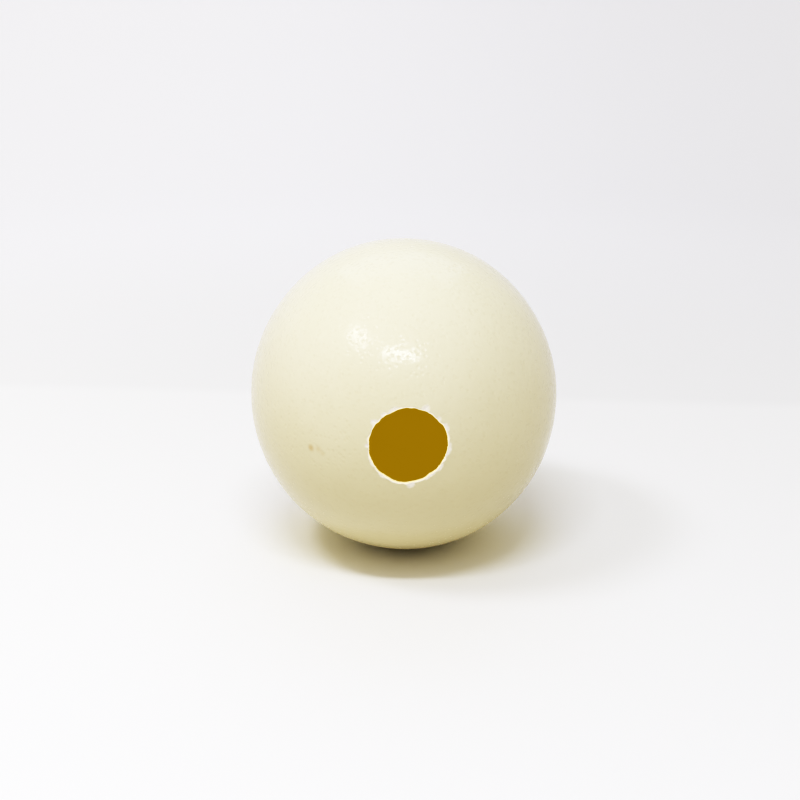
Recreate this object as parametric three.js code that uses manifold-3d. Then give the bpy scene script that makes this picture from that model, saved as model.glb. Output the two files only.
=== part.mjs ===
// A blown ostrich egg: an empty eggshell, lying on its side, with one hand-cut hole in its blunt end.
//
// Frame: millimetres, +Z up. The long axis of the egg runs along Y, with the hole facing -Y.
// The origin is on the surface the egg lies on, midway between the rim of the hole and the pointed end.

import * as THREE from "three";
import { mergeVertices } from "three/addons/utils/BufferGeometryUtils.js";
import Module from "manifold-3d";

// Driving dimensions.
const LENGTH = 158; // blunt end to pointed end
const BREADTH = 125; // across the widest section
const BLUNT_SHIFT = 1.5; // how far the widest section lies from mid-length, towards the blunt end
const WALL = 2; // thickness of the shell
const HOLE_RADIUS = 14.5; // mean radius of the hole
const REST_DEPTH = 0.4; // height of the cap that is missing where the egg rests

// How finely the curved surfaces are faceted.
const OUTER_TURNS = 64;
const OUTER_STEPS = 36;
const INNER_TURNS = 44;
const INNER_STEPS = 26;
const HOLE_POINTS = 60;

// The waviness of the hole's edge: each wave has a count round the hole, a share of the radius and a phase.
const EDGE_WAVES = [
  { count: 2, share: 0.022, phase: 5.2 },
  { count: 3, share: 0.009, phase: 5.4 },
  { count: 4, share: 0.008, phase: 0.2 },
  { count: 6, share: 0.005, phase: 3.5 },
  { count: 9, share: 0.003, phase: 3.2 },
  { count: 11, share: 0.005, phase: 1.0 },
  { count: 15, share: 0.003, phase: 5.1 },
];

const SHELL_COLOUR = 0xe9e2c4;
const SHELL_ROUGHNESS = 0.35;

// Height of the long axis above the resting surface.
const AXIS_HEIGHT = BREADTH / 2 - REST_DEPTH;

const wasm = await Module();
wasm.setup();

// The radius of an egg at a place along its axis, which runs from -length/2, the blunt end, to length/2.
// It is Hugelschaffer's egg curve, whose widest section lies at -shift.
function eggRadius(along, length, breadth, shift) {
  const ends = length ** 2 - 4 * along ** 2;
  const skew = length ** 2 + 8 * shift * along + 4 * shift ** 2;
  return (breadth / 2) * Math.sqrt(Math.max(ends, 0) / skew);
}

// A solid egg about the Y axis. The steps are even in the angle at the egg's middle, so they close up at its ends.
function eggGeometry(length, breadth, shift, steps, turns) {
  const profile = [];
  for (let i = 0; i <= steps; i++) {
    const along = (-length / 2) * Math.cos((Math.PI * i) / steps);
    const atEnd = i === 0 || i === steps;
    const radius = atEnd ? 0 : eggRadius(along, length, breadth, shift);
    profile.push(new THREE.Vector2(radius, along));
  }
  return new THREE.LatheGeometry(profile, turns);
}

// The outline of the hole, seen from outside: a circle that the edge waves push in and out.
function holeOutline() {
  const points = [];
  for (let i = 0; i < HOLE_POINTS; i++) {
    const angle = (2 * Math.PI * i) / HOLE_POINTS;
    const wave = EDGE_WAVES.reduce((sum, w) => sum + w.share * Math.cos(w.count * angle + w.phase), 0);
    const radius = HOLE_RADIUS * (1 + wave);
    points.push(new THREE.Vector2(radius * Math.cos(angle), radius * Math.sin(angle)));
  }
  return new THREE.Shape(points);
}

// The column that the hole removes, from in front of the blunt end to the middle of the hollow.
// An extrusion grows along +Z, so a quarter turn about X lays it along -Y.
function holeGeometry() {
  const column = new THREE.ExtrudeGeometry(holeOutline(), { depth: LENGTH, bevelEnabled: false });
  return column.rotateX(Math.PI / 2);
}

// A block whose top face lies on the plane of the resting spot.
function groundGeometry() {
  const block = new THREE.BoxGeometry(2 * BREADTH, 2 * LENGTH, BREADTH);
  return block.translate(0, 0, -AXIS_HEIGHT - BREADTH / 2);
}

// Turns a closed geometry into a solid that can be joined and cut.
function solidOf(geometry) {
  const bare = geometry.clone();
  bare.deleteAttribute("normal");
  bare.deleteAttribute("uv");
  const merged = mergeVertices(bare);
  const mesh = new wasm.Mesh({
    numProp: 3,
    vertProperties: merged.attributes.position.array,
    triVerts: new Uint32Array(merged.index.array),
  });
  return new wasm.Manifold(mesh);
}

// Turns a solid back into a geometry with flat facets.
function geometryOf(solid) {
  const { vertProperties, triVerts } = solid.getMesh();
  const geometry = new THREE.BufferGeometry();
  geometry.setAttribute("position", new THREE.BufferAttribute(vertProperties, 3));
  geometry.setIndex(new THREE.BufferAttribute(triVerts, 1));
  const facets = geometry.toNonIndexed();
  facets.computeVertexNormals();
  return facets;
}

// The whole shell about its own long axis: the egg, less its hollow, the hole and the resting spot.
function eggshellGeometry() {
  const egg = solidOf(eggGeometry(LENGTH, BREADTH, BLUNT_SHIFT, OUTER_STEPS, OUTER_TURNS));
  const hollow = solidOf(
    eggGeometry(LENGTH - 2 * WALL, BREADTH - 2 * WALL, BLUNT_SHIFT, INNER_STEPS, INNER_TURNS),
  );
  const hole = solidOf(holeGeometry());
  const ground = solidOf(groundGeometry());
  return geometryOf(egg.subtract(hollow).subtract(hole).subtract(ground));
}

const shape = eggshellGeometry();
shape.computeBoundingBox();

const eggshell = new THREE.Mesh(
  shape,
  new THREE.MeshStandardMaterial({
    color: SHELL_COLOUR,
    roughness: SHELL_ROUGHNESS,
    metalness: 0,
  }),
);
eggshell.name = "eggshell";
eggshell.position.y = -(shape.boundingBox.min.y + shape.boundingBox.max.y) / 2;
eggshell.position.z = AXIS_HEIGHT;

const ostrichEgg = new THREE.Group();
ostrichEgg.name = "ostrich_egg";
ostrichEgg.add(eggshell);

export default ostrichEgg;
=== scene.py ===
"""A blown ostrich egg, lying on its side with its hole towards the viewer, on a pale studio floor.

Lengths in the dataclasses are in millimetres, angles in degrees, and colours are linear RGB, unless a
docstring says otherwise. Meshes are in metres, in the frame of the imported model: +Z up, and the egg's long
axis along Y.
"""

import logging
import math
from dataclasses import dataclass, field
from enum import Enum
from typing import Any

import bpy
import numpy as np
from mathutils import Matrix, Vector


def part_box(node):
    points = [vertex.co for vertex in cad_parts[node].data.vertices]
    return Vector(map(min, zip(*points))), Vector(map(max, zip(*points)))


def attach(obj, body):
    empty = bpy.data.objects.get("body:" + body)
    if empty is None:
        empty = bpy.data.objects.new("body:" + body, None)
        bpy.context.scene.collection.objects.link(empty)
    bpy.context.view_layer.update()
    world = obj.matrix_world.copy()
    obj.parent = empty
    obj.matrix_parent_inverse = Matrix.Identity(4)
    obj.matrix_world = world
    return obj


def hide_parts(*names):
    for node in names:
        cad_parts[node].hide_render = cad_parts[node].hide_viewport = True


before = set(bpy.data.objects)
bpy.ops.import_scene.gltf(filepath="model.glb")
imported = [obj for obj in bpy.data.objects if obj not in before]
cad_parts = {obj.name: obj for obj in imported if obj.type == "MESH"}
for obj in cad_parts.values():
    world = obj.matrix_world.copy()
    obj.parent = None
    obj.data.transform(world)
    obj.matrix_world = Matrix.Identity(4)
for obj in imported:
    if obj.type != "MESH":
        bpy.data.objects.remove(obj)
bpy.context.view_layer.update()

MM = 0.001
CUT = 2.0  # the attribute bared on the cut wall. A chip has 1, and the unbroken surface 0
COMBINED = 3  # the number of the view curve that acts on all three colours
BLACK = (0.0, 0.0, 0.0, 1.0)
log = logging.getLogger("ostrich_egg")

Colour = tuple[float, float, float]


class Zone(Enum):
    """The shell's materials, by the number of their slot."""

    OUTSIDE = 0
    INSIDE = 1


class MixOf(Enum):
    """What a Mix node blends: its data type, and the numbers of its two inputs and of its output."""

    NUMBER = ("FLOAT", 2, 3, 0)
    COLOUR = ("RGBA", 6, 7, 2)


# Shader building ------------------------------------------------------------------------------------------


class Channel:
    """A shader socket that arithmetic works on: each operation adds the Math node that does it."""

    def __init__(self, bench: "Bench", socket: bpy.types.NodeSocket) -> None:
        """Args: bench is where new nodes go. socket is the output that this channel stands for."""
        self.bench = bench
        self.socket = socket

    def _math(self, operation: str, first: Any, second: Any) -> "Channel":
        """Adds one Math node and returns its result."""
        return self.bench.node("ShaderNodeMath", {"operation": operation}, {0: first, 1: second})

    def __add__(self, other: Any) -> "Channel":
        """The sum."""
        return self._math("ADD", self, other)

    __radd__ = __add__

    def __sub__(self, other: Any) -> "Channel":
        """The difference."""
        return self._math("SUBTRACT", self, other)

    def __rsub__(self, other: Any) -> "Channel":
        """The difference, taken from a plain number."""
        return self._math("SUBTRACT", other, self)

    def __mul__(self, other: Any) -> "Channel":
        """The product."""
        return self._math("MULTIPLY", self, other)

    __rmul__ = __mul__


class Bench:
    """Where one material's nodes are put together."""

    def __init__(self, name: str) -> None:
        """Starts a new material with no nodes.

        Args:
            name: the material's name.
        """
        self.material = bpy.data.materials.new(name)
        self.material.cycles.emission_sampling = "NONE"  # a faint glow needs no light rays aimed at it
        self.material.use_nodes = True
        self.tree = self.material.node_tree
        self.tree.nodes.clear()

    def node(
        self,
        kind: str,
        settings: dict[str, Any] | None = None,
        inputs: dict[Any, Any] | None = None,
        output: Any = 0,
    ) -> Channel:
        """Adds a node.

        Args:
            kind: the node's type.
            settings: attributes of the node, set before its sockets.
            inputs: a value or a Channel for each socket that isn't left as it is, by name or number.
            output: the name or number of the output to return.

        Returns:
            That output.
        """
        made = self.tree.nodes.new(kind)
        for name, value in (settings or {}).items():
            setattr(made, name, value)
        for name, value in (inputs or {}).items():
            if isinstance(value, Channel):
                self.tree.links.new(value.socket, made.inputs[name])
            else:
                made.inputs[name].default_value = value
        return Channel(self, made.outputs[output])

    def place(self) -> Channel:
        """The point being shaded, in the piece's own coordinates, in metres."""
        return self.node("ShaderNodeTexCoord", output="Object")

    def noise(self, size: float, detail: float = 2.0) -> Channel:
        """Smooth noise from 0 to 1 whose blots are about size millimetres apart."""
        sockets = {"Vector": self.place(), "Scale": 1 / (size * MM), "Detail": detail}
        return self.node("ShaderNodeTexNoise", inputs=sockets)

    def ease(self, value: Channel, low: float, high: float) -> Channel:
        """0 where value is below low, 1 above high, and a smooth step between."""
        return self.node(
            "ShaderNodeMapRange",
            {"interpolation_type": "SMOOTHSTEP"},
            {"Value": value, "From Min": low, "From Max": high},
        )

    def mix(self, of: MixOf, factor: Any, first: Any, second: Any) -> Channel:
        """Blends from first to second as factor goes from 0 to 1."""
        data_type, a, b, out = of.value
        return self.node("ShaderNodeMix", {"data_type": data_type}, {0: factor, a: first, b: second}, out)

    def finish(self, sockets: dict[str, Any]) -> bpy.types.Material:
        """Adds the Principled shader and the material's output.

        Args:
            sockets: the values or Channels of the shader's sockets, by name.

        Returns:
            The finished material.
        """
        shader = self.node("ShaderNodeBsdfPrincipled", inputs=sockets)
        made = self.tree.nodes.new("ShaderNodeOutputMaterial")
        self.tree.links.new(shader.socket, made.inputs["Surface"])
        return self.material


def rgba(colour: Colour) -> tuple[float, float, float, float]:
    """A colour with full alpha."""
    return (*colour, 1.0)


# Finishes -------------------------------------------------------------------------------------------------


@dataclass(frozen=True)
class Speck:
    """A small faint stain: where its middle is on the shell, how wide it is and how strong."""

    middle: tuple[float, float, float]
    radius: float
    strength: float


@dataclass(frozen=True)
class CuticleFinish:
    """The shell's satin outside, with its pits, and the bare chalk where the edge has chipped or was cut.

    The cream is paler near the top of the lying egg and warmer and darker towards its underside. These are
    painted light and painted shade, for how the light falls. The underside is smoother, with smooth_share of
    the relief left. The cut edge and the underside glow a little, for the light that comes through the wall
    from inside. The underside's glow grows from under_from down to under_full, and fades out from under_low
    down to the floor.
    """

    cream: Colour = (0.81, 0.778, 0.64)
    # painted shade: the underside's darker, warmer tone
    painted_warm_shade: Colour = (0.605, 0.547, 0.357)
    chalk: Colour = (0.79, 0.74, 0.66)
    cut: Colour = (0.93, 0.85, 0.63)
    cut_glow: Colour = (0.27, 0.19, 0.045)
    under_glow: Colour = (0.08, 0.065, 0.028)
    under_from: float = 32.0
    under_full: float = 12.0
    under_low: float = 9.0
    stain: Colour = (0.50, 0.36, 0.18)
    roughness: float = 0.16
    gloss: float = 0.18
    blotch_dulling: float = 0.05
    chalk_roughness: float = 0.85
    chalk_ragged: float = 0.3
    chalk_from: float = 0.1
    chalk_full: float = 0.9
    cut_from: float = 1.2
    cut_full: float = 1.8
    pit_cell: float = 2.2
    pit_depth: float = 0.09
    pit_middle: float = 0.04
    pit_edge: float = 0.48
    pit_darkening: float = 0.05
    pit_dulling: float = 0.12
    peel_size: float = 2.8
    peel_depth: float = 0.13
    grain_size: float = 0.5
    grain_depth: float = 0.004
    smooth_from: float = 75.0
    smooth_full: float = 10.0
    smooth_share: float = 0.35
    blotch_size: float = 26.0
    blotch_reach: float = 14.0
    warm_at: float = 30.0
    cream_at: float = 142.0
    specks: tuple[Speck, ...] = (
        Speck((-36.3, -65.6, 57.7), 2.3, 0.7),
        Speck((-33.5, -67.9, 57.9), 2.2, 0.3),
        Speck((-31.9, -68.9, 56.4), 1.6, 0.25),
    )

    def _pits(self, bench: Bench) -> Channel:
        """Works out where the pits are.

        The nearest point of a random scatter gives the distance. A point far from the surface leaves a small
        pit or none, so the pits differ in size.

        Args:
            bench: where the nodes go.

        Returns:
            1 in the middle of each pit and 0 between them.
        """
        sockets = {"Vector": bench.place(), "Scale": 1 / (self.pit_cell * MM), "Randomness": 1.0}
        distance = bench.node("ShaderNodeTexVoronoi", inputs=sockets, output="Distance")
        return 1.0 - bench.ease(distance, self.pit_middle, self.pit_edge)

    def _stains(self, bench: Bench) -> Channel:
        """Works out where the specks are. Each fades with distance from its middle.

        Args:
            bench: where the nodes go.

        Returns:
            The strength of the specks.
        """
        total: Any = 0.0
        for speck in self.specks:
            middle = [c * MM for c in speck.middle]
            sockets = {0: bench.place(), 1: middle}
            away = bench.node("ShaderNodeVectorMath", {"operation": "DISTANCE"}, sockets, "Value")
            total = total + speck.strength * (1.0 - bench.ease(away, 0.0, speck.radius * MM))
        return total

    def material(self) -> bpy.types.Material:
        """Builds the cream with its painted light and shade, its pits and stains, the bare chalk and the
        relief.

        Returns:
            The material.
        """
        bench = Bench("cuticle")
        pits = self._pits(bench)
        peel = bench.noise(self.peel_size)
        grain = bench.noise(self.grain_size)
        blotch = bench.noise(self.blotch_size) - 0.5
        bared = bench.node("ShaderNodeAttribute", {"attribute_name": "bared"}, output="Fac")
        chalky = bench.ease(bared + (grain - 0.5) * self.chalk_ragged, self.chalk_from, self.chalk_full)
        fresh = bench.ease(bared, self.cut_from, self.cut_full)
        bare = bench.mix(MixOf.COLOUR, fresh, rgba(self.chalk), rgba(self.cut))

        height = bench.node("ShaderNodeSeparateXYZ", inputs={0: bench.place()}, output="Z")
        above = bench.ease(height, self.under_full * MM, self.under_from * MM)
        low = bench.ease(height, 0.0, self.under_low * MM)
        under = bench.mix(MixOf.COLOUR, low * (1.0 - above), BLACK, rgba(self.under_glow))
        through = bench.mix(MixOf.COLOUR, fresh, under, rgba(self.cut_glow))
        # painted light and shade: paler towards the top, darker and warmer towards the underside
        painted_light_share = bench.ease(height + blotch * (self.blotch_reach * MM), self.warm_at * MM, self.cream_at * MM)
        cream = bench.mix(MixOf.COLOUR, painted_light_share, rgba(self.painted_warm_shade), rgba(self.cream))
        # the specks are stains, and the pits are a little darker
        stain_and_pit_share = self._stains(bench) + pits * self.pit_darkening
        stained_and_pitted = bench.mix(MixOf.COLOUR, stain_and_pit_share, cream, rgba(self.stain))
        colour = bench.mix(MixOf.COLOUR, chalky, stained_and_pitted, bare)
        satin = self.roughness + pits * self.pit_dulling + blotch * self.blotch_dulling
        roughness = bench.mix(MixOf.NUMBER, chalky, satin, self.chalk_roughness)

        lit = bench.ease(height, self.smooth_full * MM, self.smooth_from * MM)
        kept = self.smooth_share + lit * (1 - self.smooth_share)
        relief = peel * self.peel_depth + grain * self.grain_depth - pits * self.pit_depth
        normal = bench.node("ShaderNodeBump", inputs={"Height": relief * kept, "Distance": MM})
        return bench.finish(
            {
                "Base Color": colour,
                "Roughness": roughness,
                "Specular IOR Level": self.gloss,
                "Emission Color": through,
                "Emission Strength": 1.0,
                "Normal": normal,
            }
        )


@dataclass(frozen=True)
class MembraneFinish:
    """The shell's inside: amber, because light reaches it through the wall. A glow stands in for that."""

    amber: Colour = (0.24, 0.12, 0.01)
    deep_share: float = 0.9
    glow: Colour = (0.39, 0.29, 0.016)
    dim_share: float = 0.97
    glow_strength: float = 0.95
    roughness: float = 0.7
    blotch_size: float = 30.0

    def material(self) -> bpy.types.Material:
        """Builds the amber and its glow, both a little uneven.

        Returns:
            The material.
        """
        bench = Bench("membrane")
        blotch = bench.noise(self.blotch_size)
        deep = tuple(self.deep_share * c for c in self.amber)
        dim = tuple(self.dim_share * c for c in self.glow)
        amber = bench.mix(MixOf.COLOUR, blotch, rgba(self.amber), rgba(deep))
        glow = bench.mix(MixOf.COLOUR, blotch, rgba(self.glow), rgba(dim))
        return bench.finish(
            {
                "Base Color": amber,
                "Roughness": self.roughness,
                "Emission Color": glow,
                "Emission Strength": self.glow_strength,
            }
        )


@dataclass(frozen=True)
class FloorFinish:
    """The pale floor: a little darker to the right, a painted shade, and from some way behind the egg.

    Close to the egg it is tinted, for the warm light that comes through the shell. Far from the egg it glows
    faintly, most on the left, as a backdrop with a lamp of its own would.
    """

    left: Colour = (0.93, 0.925, 0.965)
    # painted shade: the floor is darker to the right
    right: Colour = (0.865, 0.862, 0.92)
    side_reach: float = 350.0
    tint: Colour = (1.0, 0.985, 0.82)
    tint_full: float = 15.0
    tint_from: float = 75.0
    behind: float = 0.95
    turn_at: float = 216.0
    turn_slant: float = 0.115
    turn_over: float = 24.0
    glow: Colour = (0.22, 0.22, 0.28)
    glow_from: float = 150.0
    glow_full: float = 850.0
    glow_left: float = -160.0
    glow_right: float = 500.0
    glow_fall: float = 0.5
    roughness: float = 0.7

    def _tone(self, bench: Bench, across: Channel, share: Colour) -> Channel:
        """Blends the floor's colour from left to right, darker to the right as painted shade.

        Args:
            bench: where the nodes go.
            across: the distance to the right of the egg's middle, in metres.
            share: how much of the red, the green and the blue is left.

        Returns:
            The colour.
        """
        side = bench.ease(across, -self.side_reach * MM, self.side_reach * MM)
        left, right = (tuple(s * c for s, c in zip(share, tone)) for tone in (self.left, self.right))
        return bench.mix(MixOf.COLOUR, side, rgba(left), rgba(right))

    def _glow(self, bench: Bench, across: Channel, away: Channel) -> Channel:
        """Works out the faint light that the floor gives out far from the egg.

        Args:
            bench: where the nodes go.
            across: the distance to the right of the egg's middle, in metres.
            away: the distance from the egg's middle, in metres.

        Returns:
            The light's colour.
        """
        far = bench.ease(away, self.glow_from * MM, self.glow_full * MM)
        fall = bench.ease(across, self.glow_left * MM, self.glow_right * MM) * self.glow_fall
        return bench.mix(MixOf.COLOUR, far * (1.0 - fall), BLACK, rgba(self.glow))

    def material(self) -> bpy.types.Material:
        """Builds the near tone with its tint, the darker one behind a slanted line, and the glow.

        Returns:
            The material.
        """
        bench = Bench("floor")
        across = bench.node("ShaderNodeSeparateXYZ", inputs={0: bench.place()}, output="X")
        along = bench.node("ShaderNodeSeparateXYZ", inputs={0: bench.place()}, output="Y")
        away = bench.node("ShaderNodeVectorMath", {"operation": "LENGTH"}, {0: bench.place()}, "Value")
        half = self.turn_over / 2
        slanted = along + across * self.turn_slant
        behind = bench.ease(slanted, (self.turn_at - half) * MM, (self.turn_at + half) * MM)
        close = 1.0 - bench.ease(away, self.tint_full * MM, self.tint_from * MM)
        shares = ((1.0, 1.0, 1.0), self.tint, (self.behind,) * 3)
        plain, painted_warm_shade, far = (self._tone(bench, across, share) for share in shares)
        near = bench.mix(MixOf.COLOUR, close, plain, painted_warm_shade)
        return bench.finish(
            {
                "Base Color": bench.mix(MixOf.COLOUR, behind, near, far),
                "Roughness": self.roughness,
                "Emission Color": self._glow(bench, across, away),
                "Emission Strength": 1.0,
            }
        )


# The eggshell ---------------------------------------------------------------------------------------------


@dataclass(frozen=True)
class Swell:
    """A smooth random swell: plane waves in directions drawn at random.

    Each wave's length is drawn too, from shortest to longest times the wavelength.
    """

    wavelength: float
    height: float
    seed: int
    waves: int = 24
    shortest: float = 0.75
    longest: float = 1.35
    limit: float = 3.0

    def at(self, points: np.ndarray) -> np.ndarray:
        """The swell at points.

        Formula: the sum of cos(2 pi * (direction . point) / length + phase) over the waves, divided by the
        root of half their number, times height, so that height is its spread. It is held within limit times
        height either way.

        Args:
            points: an array whose last axis is x, y, z in millimetres.

        Returns:
            The swell in millimetres, without that last axis.
        """
        draw = np.random.default_rng(self.seed)
        directions = draw.normal(size=(self.waves, 3))
        directions /= np.linalg.norm(directions, axis=1, keepdims=True)
        lengths = self.wavelength * draw.uniform(self.shortest, self.longest, self.waves)
        phases = draw.uniform(0, 2 * np.pi, self.waves)
        turns = 2 * np.pi * points @ (directions / lengths[:, None]).T + phases
        swell = np.cos(turns).sum(-1) / math.sqrt(self.waves / 2)
        return self.height * np.clip(swell, -self.limit, self.limit)


@dataclass(frozen=True)
class EggCurve:
    """The outline of an egg about its long axis: Hugelschaffer's curve, widest at -shift from mid-length."""

    length: float
    breadth: float
    shift: float
    steps: int = 4000

    def inset(self, depth: float) -> "EggCurve":
        """The curve of the egg that is smaller by depth all round."""
        return EggCurve(self.length - 2 * depth, self.breadth - 2 * depth, self.shift)

    def table(self) -> tuple[np.ndarray, np.ndarray, np.ndarray]:
        """The curve in small steps, from the blunt end to the pointed end.

        Formula: the place along the axis is -cos(turn) times half the length. The radius is half the breadth
        times the root of (length squared - 4 along squared) / (length squared + 8 shift along + 4 shift
        squared). The arc is the running sum of the steps' lengths.

        Returns:
            The arc from the blunt end, the place along the axis and the radius.
        """
        turn = np.linspace(0, np.pi, self.steps)
        along = -0.5 * self.length * np.cos(turn)
        ends = np.maximum(self.length**2 - 4 * along**2, 0)
        skew = self.length**2 + 8 * self.shift * along + 4 * self.shift**2
        radius = 0.5 * self.breadth * np.sqrt(ends / skew)
        arc = np.concatenate([[0], np.cumsum(np.hypot(np.diff(along), np.diff(radius)))])
        return arc, along, radius

    def arc_at(self, radius: np.ndarray) -> np.ndarray:
        """Finds where the curve first reaches a radius.

        Args:
            radius: the radius in millimetres.

        Returns:
            The arc from the blunt end's tip, in millimetres.
        """
        arc, _, radii = self.table()
        widest = int(np.argmax(radii))
        return np.interp(radius, radii[: widest + 1], arc[: widest + 1])

    def at(self, arc: np.ndarray) -> tuple[np.ndarray, np.ndarray, np.ndarray, np.ndarray]:
        """Reads the curve at an arc.

        Args:
            arc: the arc from the blunt end's tip, in millimetres.

        Returns:
            The place along the axis, the radius, and the outward normal's parts along the axis and away
            from it.
        """
        arcs, along, radius = self.table()
        slope_along = np.gradient(along, arcs)
        slope_radius = np.gradient(radius, arcs)
        read = (np.interp(arc, arcs, column) for column in (along, radius, -slope_radius, slope_along))
        return tuple(read)


@dataclass(frozen=True)
class EdgeWave:
    """One wave of the hole's edge: its count round the hole, share of the radius and phase in radians."""

    count: int
    share: float
    phase: float


@dataclass(frozen=True)
class Chip:
    """A flake lost from the outside at the hole's edge: its angle, half width, reach and depth."""

    angle: float
    half_width: float
    reach: float
    depth: float = 0.3


@dataclass(frozen=True)
class HoleEdge:
    """The hand-cut hole: its wavy outline, the fine teeth along it, and the flakes lost round it."""

    radius: float = 14.5
    waves: tuple[EdgeWave, ...] = (
        EdgeWave(2, 0.022, 5.2),
        EdgeWave(3, 0.009, 5.4),
        EdgeWave(4, 0.008, 0.2),
        EdgeWave(6, 0.005, 3.5),
        EdgeWave(9, 0.003, 3.2),
        EdgeWave(11, 0.005, 1.0),
        EdgeWave(15, 0.003, 5.1),
    )
    tooth: Swell = Swell(wavelength=2.4, height=0.07, seed=11)
    margin: float = 0.4
    margin_swell: Swell = Swell(wavelength=3.0, height=0.14, seed=12)
    margin_depth: float = 0.22
    least_margin: float = 0.12
    chalk_fade: float = 2.0
    fresh_fade: float = 1.3
    ragged: Swell = Swell(wavelength=1.1, height=0.12, seed=13)
    chips: tuple[Chip, ...] = (
        Chip(65, 1.3, 2.4),
        Chip(42, 0.9, 1.5),
        Chip(26, 1.6, 1.6),
        Chip(-6, 2.6, 1.5),
        Chip(-36, 2.0, 1.3),
        Chip(-55, 2.6, 1.1),
        Chip(-86, 1.5, 2.1),
        Chip(-130, 1.6, 1.2),
        Chip(-153, 1.3, 1.0),
        Chip(180, 0.8, 1.6),
        Chip(144, 1.3, 2.1),
        Chip(127, 1.3, 1.4),
        Chip(111, 2.2, 1.4),
    )

    def _ring(self, angle: np.ndarray, out: np.ndarray | float = 0.0) -> np.ndarray:
        """Points on the hole's plain circle, or out millimetres outside it, where the swells are read."""
        radius = self.radius + np.asarray(out) + 0 * angle
        return np.stack([radius * np.cos(angle), 0 * radius, radius * np.sin(angle)], axis=-1)

    def outline(self, angle: np.ndarray) -> np.ndarray:
        """The radius at an angle: radius * (1 + sum of share * cos(count * angle + phase)) + the teeth."""
        wave = sum(w.share * np.cos(w.count * angle + w.phase) for w in self.waves)
        return self.radius * (1 + wave) + self.tooth.at(self._ring(angle))

    def lost(self, angle: np.ndarray, out: np.ndarray) -> tuple[np.ndarray, np.ndarray]:
        """What is missing from the outside near the hole.

        Formula: a flake is half an ellipse on the edge. Its q is (distance along the edge / half_width)
        squared + (out / reach) squared, with a ragged swell, and its depth is depth * (1 - q) where q is
        under 1. The margin all round has depth * root(1 - q) with q = (out / its width) squared. The deepest
        counts. The chalk fades out to where the least q is chalk_fade. The cut's brightness fades out over
        one margin, down to where out is fresh_fade margins.

        Args:
            angle: the angle round the hole, in radians.
            out: the distance outside the edge, in millimetres.

        Returns:
            The depth in millimetres, and how far the surface is bared, from 0 through 1, a chip, to CUT.
        """
        ragged = self.ragged.at(self._ring(angle, out))
        width = np.maximum(self.margin + self.margin_swell.at(self._ring(angle)), self.least_margin)
        q = (out / width) ** 2
        depth = self.margin_depth * np.sqrt(np.clip(1 - q, 0, 1))
        least = q
        for chip in self.chips:
            turned = (angle - math.radians(chip.angle) + np.pi) % (2 * np.pi) - np.pi
            sideways = self.radius * turned / chip.half_width
            q = sideways**2 + (out / chip.reach) ** 2 + ragged
            depth = np.maximum(depth, chip.depth * np.clip(1 - q, 0, 1))
            least = np.minimum(least, q)
        chalky = np.clip(1 - least / self.chalk_fade, 0, 1)
        fresh = np.clip(self.fresh_fade - out / width, 0, 1)
        return depth, chalky + (CUT - 1) * fresh


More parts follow.
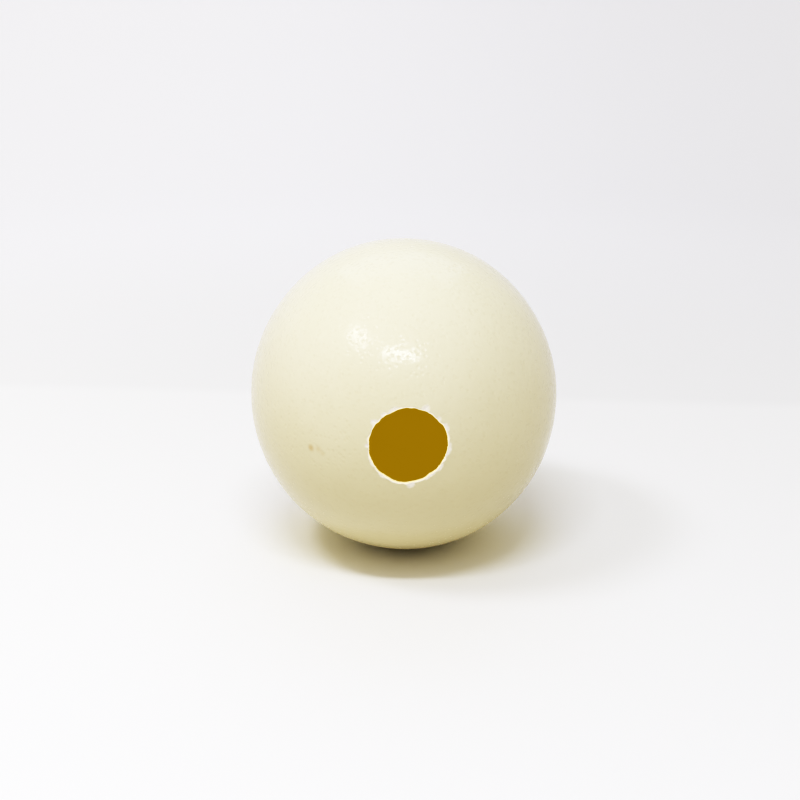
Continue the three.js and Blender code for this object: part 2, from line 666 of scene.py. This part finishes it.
@dataclass
class Eggshell:
    """The whole shell as one closed skin: inside, broken edge and outside.

    The skin is a grid. Its columns go round the long axis. Its rows run from the closed end along the inside
    to the hole, across the wall, and back along the outside to the closed end.
    """

    length: float = 158.0
    breadth: float = 125.0
    blunt_shift: float = 1.5
    wall: float = 2.0
    rest_depth: float = 0.4
    columns: int = 400
    inside_rows: int = 34
    wall_rows: int = 6
    outside_rows: int = 198
    first_step: float = 0.15
    hole: HoleEdge = field(default_factory=HoleEdge)
    broad: Swell = Swell(wavelength=34.0, height=0.05, seed=21)
    fine: Swell = Swell(wavelength=9.0, height=0.008, seed=22)
    fracture: Swell = Swell(wavelength=0.9, height=0.09, seed=23)
    cuticle: CuticleFinish = CuticleFinish()
    membrane: MembraneFinish = MembraneFinish()

    @property
    def middle(self) -> Vector:
        """The point on the long axis at mid-length, in millimetres in the row frame."""
        _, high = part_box("eggshell")
        return Vector((0, high.y / MM - self.length / 2, self.breadth / 2 - self.rest_depth))

    def _spread(self, count: int) -> np.ndarray:
        """Shares from 0 to just under 1, for even u: first_step * u + (1 - first_step) * u squared."""
        u = np.arange(count) / count
        return self.first_step * u + (1 - self.first_step) * u**2

    def _turned(self, angle: np.ndarray, along: np.ndarray, radius: np.ndarray) -> np.ndarray:
        """Points at a place along the axis, a radius and an angle, in millimetres about the middle."""
        return np.stack([radius * np.cos(angle), along, radius * np.sin(angle)], axis=-1)

    def _outside(self, angle: np.ndarray) -> tuple[np.ndarray, np.ndarray]:
        """Works out the outside's rows, from the hole's edge to the closed end.

        Formula: a point on the egg's curve, moved in along the normal by what is lost near the hole, and by
        a broad and a fine swell that only ever go inwards. Nothing lies below the flat resting spot.

        Args:
            angle: the columns' angles round the long axis, in radians.

        Returns:
            The points, in millimetres about the egg's middle, and how far each is bared.
        """
        curve = EggCurve(self.length, self.breadth, self.blunt_shift)
        start = curve.arc_at(self.hole.outline(angle))
        whole = curve.table()[0][-1]
        out = self._spread(self.outside_rows)[:, None] * (whole - start)
        along, radius, normal_along, normal_radius = curve.at(start + out)
        depth, bared = self.hole.lost(angle + 0 * out, out)
        plain = self._turned(angle, along, radius)
        for swell in (self.broad, self.fine):
            depth = depth + swell.limit * swell.height - swell.at(plain)
        points = self._turned(angle, along - depth * normal_along, radius - depth * normal_radius)
        points[..., 2] = np.maximum(points[..., 2], -self.middle.z)
        return points, bared

    def _inside(self, angle: np.ndarray) -> np.ndarray:
        """Works out the inside's rows, from the closed end to the hole's edge.

        Formula: a point on the curve of the egg that is smaller by the wall.

        Args:
            angle: the columns' angles round the long axis, in radians.

        Returns:
            The points, in millimetres about the egg's middle.
        """
        curve = EggCurve(self.length, self.breadth, self.blunt_shift).inset(self.wall)
        start = curve.arc_at(self.hole.outline(angle))
        whole = curve.table()[0][-1]
        out = self._spread(self.inside_rows)[::-1, None] * (whole - start)
        along, radius, _, _ = curve.at(start + out)
        return self._turned(angle, along, radius)

    def _wall(self, inner: np.ndarray, outer: np.ndarray) -> np.ndarray:
        """Works out the cut wall's rows.

        Formula: straight lines from the inner edge to the outer, moved away from the long axis by a swell
        times the sine of half a turn over the wall, so that both edges stay.

        Args:
            inner: the inner edge's points.
            outer: the outer edge's points.

        Returns:
            The points between the two edges.
        """
        v = (np.arange(1, self.wall_rows + 1) / (self.wall_rows + 1))[:, None, None]
        points = inner + v * (outer - inner)
        rough = self.fracture.at(points)[..., None] * np.sin(np.pi * v)
        sideways = points * (1, 0, 1)
        return points + rough * sideways / np.linalg.norm(sideways, axis=-1, keepdims=True)

    def _faces(self, rows: int) -> tuple[list[list[int]], list[int]]:
        """The grid's faces and their materials.

        A face is a square of the grid, or a triangle between the first or last row and its pole. The
        corners' order makes it face out of the wall. The poles are the last two points.

        Args:
            rows: how many rows the grid has.

        Returns:
            Each face's corners, and each face's material slot.
        """
        index = np.arange(rows * self.columns).reshape(rows, self.columns)
        aside = np.roll(index, -1, axis=1)
        squares = np.stack([index[:-1], index[1:], aside[1:], aside[:-1]], axis=-1).reshape(-1, 4)
        first = np.full(self.columns, rows * self.columns)
        inner_fan = np.stack([first, index[0], aside[0]], axis=-1)
        outer_fan = np.stack([index[-1], first + 1, aside[-1]], axis=-1)
        inside = (self.inside_rows - 1) * self.columns
        slots = np.full(len(squares), Zone.OUTSIDE.value)
        slots[:inside] = Zone.INSIDE.value
        fans = [Zone.INSIDE.value] * self.columns + [Zone.OUTSIDE.value] * self.columns
        return squares.tolist() + inner_fan.tolist() + outer_fan.tolist(), slots.tolist() + fans

    def build(self) -> bpy.types.Object:
        """Makes the mesh.

        Returns:
            Its object, which sits at the origin.
        """
        angle = 2 * np.pi * np.arange(self.columns) / self.columns
        inside = self._inside(angle)
        outside, bared = self._outside(angle)
        wall = self._wall(inside[-1], outside[0])
        grid = np.concatenate([inside, wall, outside])
        tip = outside[-1, :, 1].mean()
        poles = np.array([[0, self.length / 2 - self.wall, 0], [0, tip, 0]])
        points = np.concatenate([grid.reshape(-1, 3), poles]) + np.array(self.middle)
        chalk = np.concatenate([np.zeros(inside.shape[:2]), np.full(wall.shape[:2], CUT), bared])

        mesh = bpy.data.meshes.new("shell")
        faces, slots = self._faces(len(grid))
        mesh.from_pydata((points * MM).tolist(), [], faces)
        mesh.polygons.foreach_set("material_index", slots)
        mesh.polygons.foreach_set("use_smooth", np.ones(len(faces), bool))
        attribute = mesh.attributes.new("bared", "FLOAT", "POINT")
        attribute.data.foreach_set("value", np.append(chalk.ravel(), [0, 0]).astype(np.float32))
        mesh.validate()
        mesh.update()
        shell = bpy.data.objects.new("shell", mesh)
        bpy.context.scene.collection.objects.link(shell)
        return shell

    def dress(self, shell: bpy.types.Object) -> None:
        """Gives the shell its materials, in the order of Zone."""
        shell.data.materials.append(self.cuticle.material())
        shell.data.materials.append(self.membrane.material())

    def make(self) -> bpy.types.Object:
        """Builds and dresses the shell, and puts it in the frame in place of its plain solid.

        Returns:
            The shell.
        """
        shell = self.build()
        self.dress(shell)
        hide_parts("eggshell")
        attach(shell, "root")
        return shell


# The studio -----------------------------------------------------------------------------------------------


@dataclass(frozen=True)
class Lamp:
    """A flat lamp aimed at the egg.

    Its direction is seen from the egg and need not have length 1. Its radiance is in the scene's own units.
    """

    name: str
    direction: tuple[float, float, float]
    distance: float
    width: float
    height: float
    radiance: float
    colour: Colour

    def hang(self, target: Vector) -> None:
        """Makes the lamp. Its power is pi * its area * its radiance, which a flat lamp sends out.

        Args:
            target: the point it is aimed at, in millimetres.
        """
        light = bpy.data.lights.new(self.name, "AREA")
        light.shape = "RECTANGLE"
        light.size = self.width * MM
        light.size_y = self.height * MM
        light.energy = math.pi * light.size * light.size_y * self.radiance
        light.color = self.colour
        towards = Vector(self.direction).normalized()
        lamp = bpy.data.objects.new(self.name, light)
        lamp.location = (target + self.distance * towards) * MM
        lamp.rotation_euler = towards.to_track_quat("Z", "Y").to_euler()
        bpy.context.scene.collection.objects.link(lamp)


@dataclass(frozen=True)
class FilmResponse:
    """How bright scene light looks in the picture: a film curve that is the same for each colour."""

    contrast: float = 2.0
    knee: float = 0.62
    white: float = 1.6
    points: int = 24

    def tone(self, light: float) -> float:
        """The picture's brightness for scene light.

        Formula: with x the light to the contrast, x / (x + knee), scaled to reach 1 where the light is white.

        Args:
            light: the scene light, where white is the least that comes out pure white.

        Returns:
            The linear brightness, from 0 to 1.
        """
        x = light**self.contrast
        top = self.white**self.contrast
        return x / (x + self.knee) * (top + self.knee) / top

    def develop(self) -> None:
        """Puts the curve into the scene's view settings, with its points closer together in the shadows."""
        view = bpy.context.scene.view_settings
        view.view_transform = "Standard"
        view.use_curve_mapping = True
        view.curve_mapping.white_level = (self.white,) * 3
        curve = view.curve_mapping.curves[COMBINED]
        for share in [(i / self.points) ** 2 for i in range(1, self.points)]:
            curve.points.new(share, self.tone(share * self.white))
        view.curve_mapping.update()


@dataclass
class Studio:
    """The floor, the lamps and the soft light from all round."""

    flat_radius: float = 900.0
    sweep_radius: float = 2000.0
    sweep_height: float = 1100.0
    rings: int = 40
    spokes: int = 96
    floor: FloorFinish = FloorFinish()
    surround: Colour = (1.0, 0.93, 0.68)
    surround_strength: float = 0.81
    lamps: tuple[Lamp, ...] = (
        Lamp("front_strip", (-0.06, -0.525, 0.85), 1200, 520, 100, 52, (0.84, 0.9, 1.0)),
        Lamp("left_box", (-0.51, -0.175, 0.84), 1000, 320, 170, 20.2, (0.885, 0.91, 1.0)),
        Lamp("back_light", (0, 0.7, 0.7), 1500, 1200, 800, 1.25, (0.55, 0.68, 1.0)),
    )

    def make_floor(self) -> bpy.types.Object:
        """Makes the floor, which sweeps up far from the egg.

        Formula: rings about the middle. The height is 0 out to the flat radius, and beyond it the sweep's
        height times the square of the share of the way from there to the last ring.

        Returns:
            The floor.
        """
        angle = 2 * np.pi * np.arange(self.spokes) / self.spokes
        radius = self.sweep_radius * (np.arange(1, self.rings + 1) / self.rings)[:, None] + 0 * angle
        beyond = np.maximum(radius - self.flat_radius, 0) / (self.sweep_radius - self.flat_radius)
        height = self.sweep_height * beyond**2
        points = np.stack([radius * np.cos(angle), radius * np.sin(angle), height], axis=-1).reshape(-1, 3)
        index = np.arange(len(points)).reshape(radius.shape)
        aside = np.roll(index, -1, axis=1)
        squares = np.stack([index[:-1], index[1:], aside[1:], aside[:-1]], axis=-1).reshape(-1, 4)
        fan = np.stack([np.full(self.spokes, len(points)), index[0], aside[0]], axis=-1)
        mesh = bpy.data.meshes.new("floor")
        corners = np.append(points, [[0, 0, 0]], axis=0) * MM
        mesh.from_pydata(corners.tolist(), [], squares.tolist() + fan.tolist())
        mesh.polygons.foreach_set("use_smooth", np.ones(len(mesh.polygons), bool))
        mesh.materials.append(self.floor.material())
        floor = bpy.data.objects.new("floor", mesh)
        bpy.context.scene.collection.objects.link(floor)
        return floor

    def light(self, target: Vector) -> None:
        """Hangs the lamps and sets the soft light from all round.

        Args:
            target: the point that the lamps are aimed at, in millimetres.
        """
        world = bpy.data.worlds.new("surround")
        world.use_nodes = True
        background = next(n for n in world.node_tree.nodes if n.type == "BACKGROUND")
        background.inputs["Color"].default_value = rgba(self.surround)
        background.inputs["Strength"].default_value = self.surround_strength
        bpy.context.scene.world = world
        for lamp in self.lamps:
            lamp.hang(target)


@dataclass(frozen=True)
class Viewpoint:
    """The camera: where it stands round the egg, and how far beside the egg's middle it looks."""

    azimuth: float = -1.24
    elevation: float = 15.3
    distance: float = 700.0
    look_right: float = -1.5
    look_up: float = -3.85
    sensor: float = 36.0
    lens: float = 76.5

    def make(self, middle: Vector) -> bpy.types.Object:
        """Makes the scene's camera.

        Args:
            middle: the egg's middle, in millimetres.

        Returns:
            The camera.
        """
        turn = math.radians(self.azimuth)
        rise = math.radians(self.elevation)
        back = Vector((math.sin(turn) * math.cos(rise), -math.cos(turn) * math.cos(rise), math.sin(rise)))
        right = Vector((math.cos(turn), math.sin(turn), 0))
        place = middle + self.distance * back
        aim = middle + self.look_right * right + self.look_up * back.cross(right)
        data = bpy.data.cameras.new("camera")
        data.sensor_width = self.sensor
        data.lens = self.lens
        camera = bpy.data.objects.new("camera", data)
        camera.location = place * MM
        camera.rotation_euler = (aim - place).to_track_quat("-Z", "Y").to_euler()
        bpy.context.scene.collection.objects.link(camera)
        bpy.context.scene.camera = camera
        return camera


def report(piece: bpy.types.Object) -> None:
    """Logs a piece's name and how many points and faces it has."""
    log.info("%s: %d points, %d faces", piece.name, len(piece.data.vertices), len(piece.data.polygons))


def main() -> None:
    """Builds the camera, the eggshell and the studio in order, and reports each piece."""
    logging.basicConfig(level=logging.INFO, format="%(name)s: %(message)s")
    eggshell = Eggshell()
    studio = Studio()
    Viewpoint().make(eggshell.middle)
    report(eggshell.make())
    report(studio.make_floor())
    studio.light(eggshell.middle)
    FilmResponse().develop()


if __name__ == "__main__":
    main()
